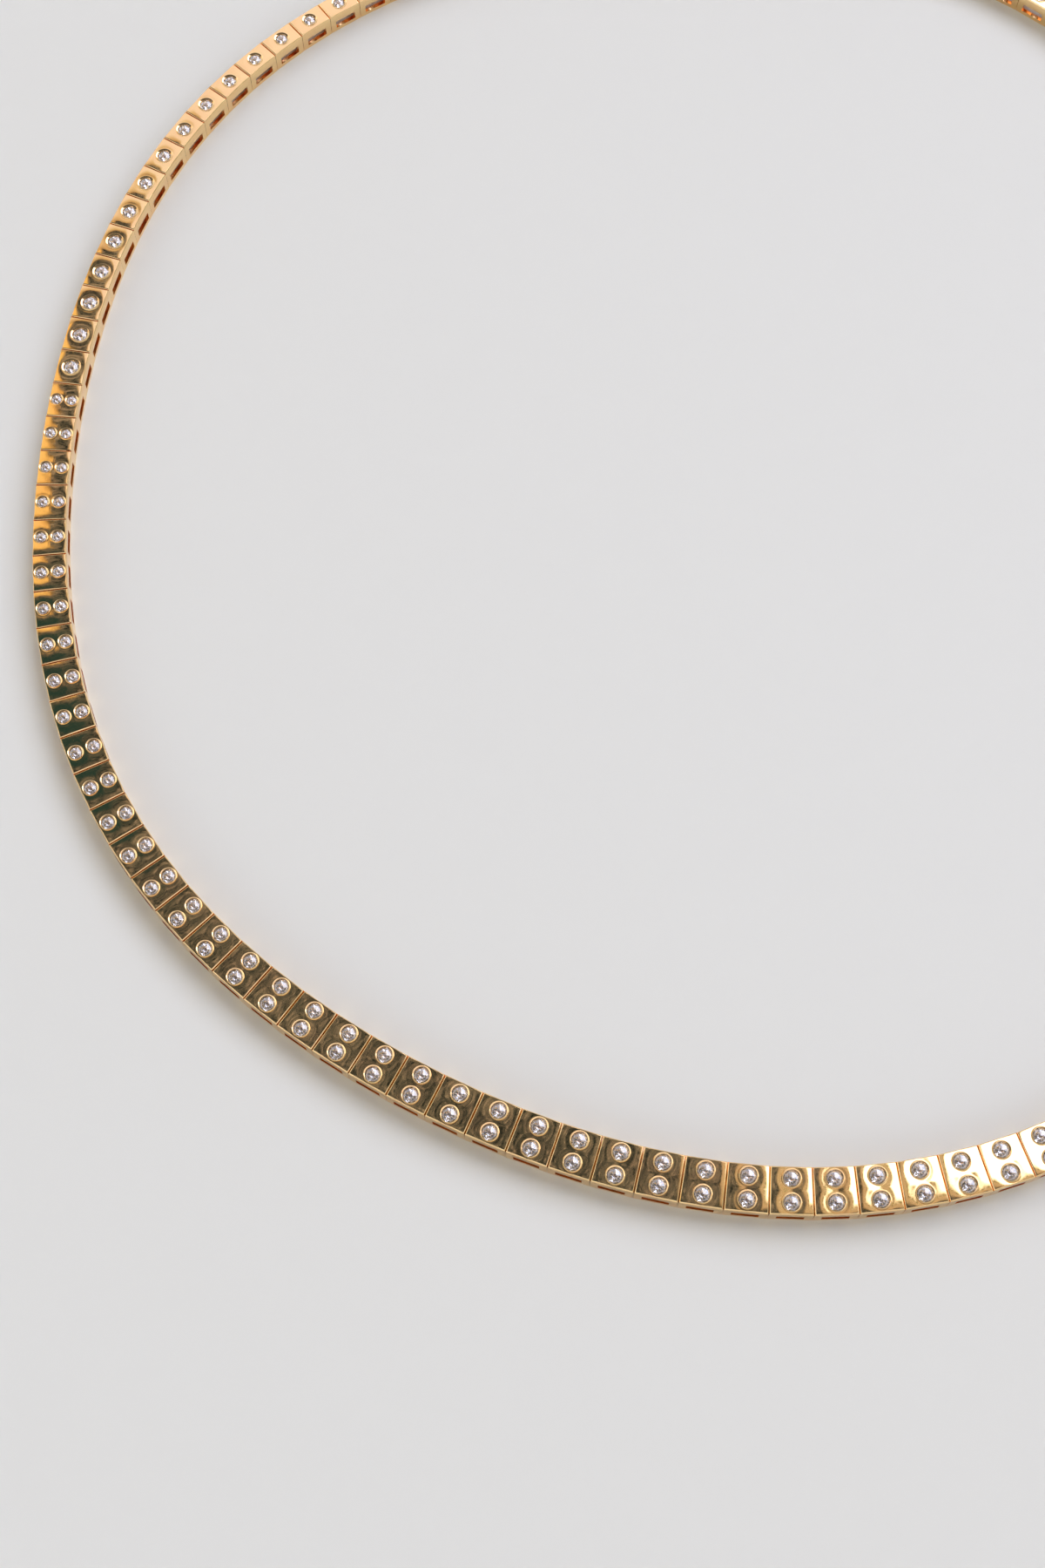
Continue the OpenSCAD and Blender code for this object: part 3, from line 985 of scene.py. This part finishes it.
# %% The direction as a place on a flat ceiling
# Directions lower than this count as if they were this high
LEAST_HEIGHT = 0.08
scene.view_settings.view_transform = "Standard"
world = bpy.data.worlds.new("studio")
scene.world = world
world.use_nodes = True
sky = world.node_tree
direction = sky.nodes.new("ShaderNodeTexCoord").outputs["Generated"]
split = sky.nodes.new("ShaderNodeSeparateXYZ")
put(sky, split.inputs["Vector"], direction)
rightward, backward, upward = split.outputs
# Sums of two numbers of the sky
plus, minus, times, over, least, most, power = (partial(number, sky, operation) for operation in (
    "ADD", "SUBTRACT", "MULTIPLY", "DIVIDE", "MINIMUM", "MAXIMUM", "POWER"))
height = most(upward, LEAST_HEIGHT)
to_right, to_back = over(rightward, height), over(backward, height)
print("sky of", len(sky.nodes), "nodes so far")

# %% How the sky's layers are laid, each over the last
# Strength of the sky, just above its brightest layer
SKY = 3.8


def eased(value, start, end, low=0.0, high=1.0):
    """A value that eases from low to high as the given one goes from start to end."""
    return remap(sky, value, start, end, low, high, "SMOOTHSTEP")


def ramp_of(value, stops):
    """Colours along a value, from stops of place, red, green, blue and cover. Brightnesses are
    divided by the sky's own strength, because a ramp holds nothing above one."""
    ramp = sky.nodes.new("ShaderNodeValToRGB")
    ramp.color_ramp.elements.remove(ramp.color_ramp.elements[1])
    for i, (at, red, green, blue, cover) in enumerate(stops):
        stop = ramp.color_ramp.elements[0] if i == 0 else ramp.color_ramp.elements.new(at)
        stop.position, stop.color = at, (red / SKY, green / SKY, blue / SKY, cover)
    put(sky, ramp.inputs["Fac"], value)
    return ramp.outputs["Color"], ramp.outputs["Alpha"]


def lay(name, under, colour, cover):
    """One colour over another, by how much it covers."""
    print(name, "laid")
    return mix(sky, cover, under, colour)


def band(name, under, distance, reach, stops):
    """A layer whose colours run along a distance in from its edge, measured in reaches."""
    return lay(name, under, *ramp_of(over(distance, reach), stops))


# %% The dim and cloudy ceiling, with a dusky patch to the left
# How fine, how detailed and how rough the clouds are
CLOUDS = 42.0, 8.0, 0.85
# The patch: its right edge, its place to the back, its reach from there, and its soft edge
DUSK_RIGHT, DUSK_BACK, DUSK_HALF, DUSK_SOFT = -0.16, 0.41, 0.08, 0.05
ceiling = ramp_of(noise(sky, direction, *CLOUDS), [
    (0.43, 0.01, 0.015, 0.015, 1), (0.485, 0.07, 0.085, 0.09, 1), (0.525, 0.14, 0.14, 0.155, 1),
    (0.585, 0.46, 0.40, 0.38, 1)])[0]
dusk_inset = minus(DUSK_HALF, number(sky, "ABSOLUTE", minus(to_back, DUSK_BACK)))
dusk = band("dusk", ceiling, least(minus(DUSK_RIGHT, to_right), dusk_inset), DUSK_SOFT, [
    (0.0, 0.03, 0.05, 0.05, 0), (1.0, 0.02, 0.06, 0.07, 0.93)])

# %% The light room beyond the ceiling
# The ceiling's middle, and how far from it the room starts and is all there
CEILING_RIGHT, ROOM_START, ROOM_FULL = -0.3, 0.85, 1.5
room_light = ramp_of(upward, [(0.0, 1.14, 1.07, 1.2, 1), (0.62, 1.08, 1.02, 1.12, 1)])[0]
square = plus(power(minus(to_right, CEILING_RIGHT), 2.0), power(to_back, 2.0))
room = lay("room", dusk, room_light, eased(number(sky, "SQRT", square), ROOM_START, ROOM_FULL))

# %% The warm glow to the left
# Its right edge passes through this place, and leans left towards the back
GLOW_LEAN, GLOW_BACK, GLOW_RIGHT = -0.25, 0.55, -0.238
# Its front edge, and how far in its colours reach
GLOW_FRONT, GLOW_REACH = 0.485, 0.2
lean = times(minus(to_back, GLOW_BACK), GLOW_LEAN)
glow_inset = minus(plus(lean, GLOW_RIGHT), to_right)
glow = band("glow", room, least(glow_inset, minus(to_back, GLOW_FRONT)), GLOW_REACH, [
    (0.0, 0.2, 0.14, 0.08, 0), (0.06, 0.75, 0.48, 0.20, 1), (0.16, 1.07, 0.74, 0.33, 1),
    (0.6, 1.1, 0.85, 0.5, 1)])

# %% The pale wall to the back
# Its front edge steps back from near to far, between the step's start and end to the left. The
# last is how far in its colours reach
WALL_NEAR, WALL_FAR, STEP_START, STEP_END, WALL_REACH = 0.43, 0.69, 0.13, 0.20, 0.35
wall_front = eased(times(to_right, -1.0), STEP_START, STEP_END, WALL_NEAR, WALL_FAR)
wall = band("wall", glow, minus(to_back, wall_front), WALL_REACH, [
    (0.0, 0.24, 0.17, 0.10, 0), (0.034, 0.60, 0.42, 0.25, 1), (0.16, 0.86, 0.72, 0.56, 1),
    (0.29, 1.02, 0.93, 1.02, 1), (0.75, 1.04, 0.96, 1.05, 1), (1.0, 1.08, 1.0, 1.12, 1)])

# %% The bright window to the right, with a dark bar near its edge
# Its left and front edges, and how far in its colours reach
WINDOW_LEFT, WINDOW_FRONT, WINDOW_REACH = 0.112, 0.12, 0.12
window_inset = least(minus(to_right, WINDOW_LEFT), minus(to_back, WINDOW_FRONT))
window = band("window", wall, window_inset, WINDOW_REACH, [
    (0.0, 0.12, 0.10, 0.07, 0), (0.04, 0.38, 0.29, 0.19, 1), (0.10, 0.64, 0.52, 0.42, 1),
    (0.25, 0.66, 0.54, 0.40, 1), (0.30, 0.16, 0.16, 0.05, 1), (0.36, 1.4, 1.3, 1.1, 1),
    (0.45, 2.9, 3.0, 3.7, 1)])

# %% The low light near the horizon
# Its bright side, as shares of right and back, and the heights where it fades and ends
LOW_RIGHT, LOW_BACK, LOW_FULL, LOW_END = 0.8, 0.6, 0.28, 0.50
towards = plus(times(rightward, LOW_RIGHT), times(backward, LOW_BACK))
low_light = ramp_of(number(sky, "MULTIPLY_ADD", towards, 0.5, 0.5), [
    (0.0, 0.85, 0.62, 0.50, 1), (0.3, 0.80, 0.70, 0.66, 1), (0.6, 1.15, 1.10, 1.20, 1),
    (0.75, 2.0, 2.0, 2.3, 1), (0.95, 3.2, 3.2, 3.7, 1)])[0]
horizon = lay("low light", window, low_light, minus(1.0, eased(upward, LOW_FULL, LOW_END)))
put(sky, sky.nodes["Background"].inputs["Color"], horizon)
put(sky, sky.nodes["Background"].inputs["Strength"], SKY)
world.cycles.sampling_method = "MANUAL"
world.cycles.sample_map_resolution = 1024
print("sky of", len(sky.nodes), "nodes")

# %% [markdown]
# ## How far light is followed
# Light turns many times inside a diamond before it comes out. If it were dropped after a few
# turns, the stones would be dark, so more turns are allowed.

# %% Light paths
cycles = scene.cycles
cycles.max_bounces, cycles.glossy_bounces, cycles.transmission_bounces = 16, 10, 16
print("a ray may turn", cycles.max_bounces, "times")
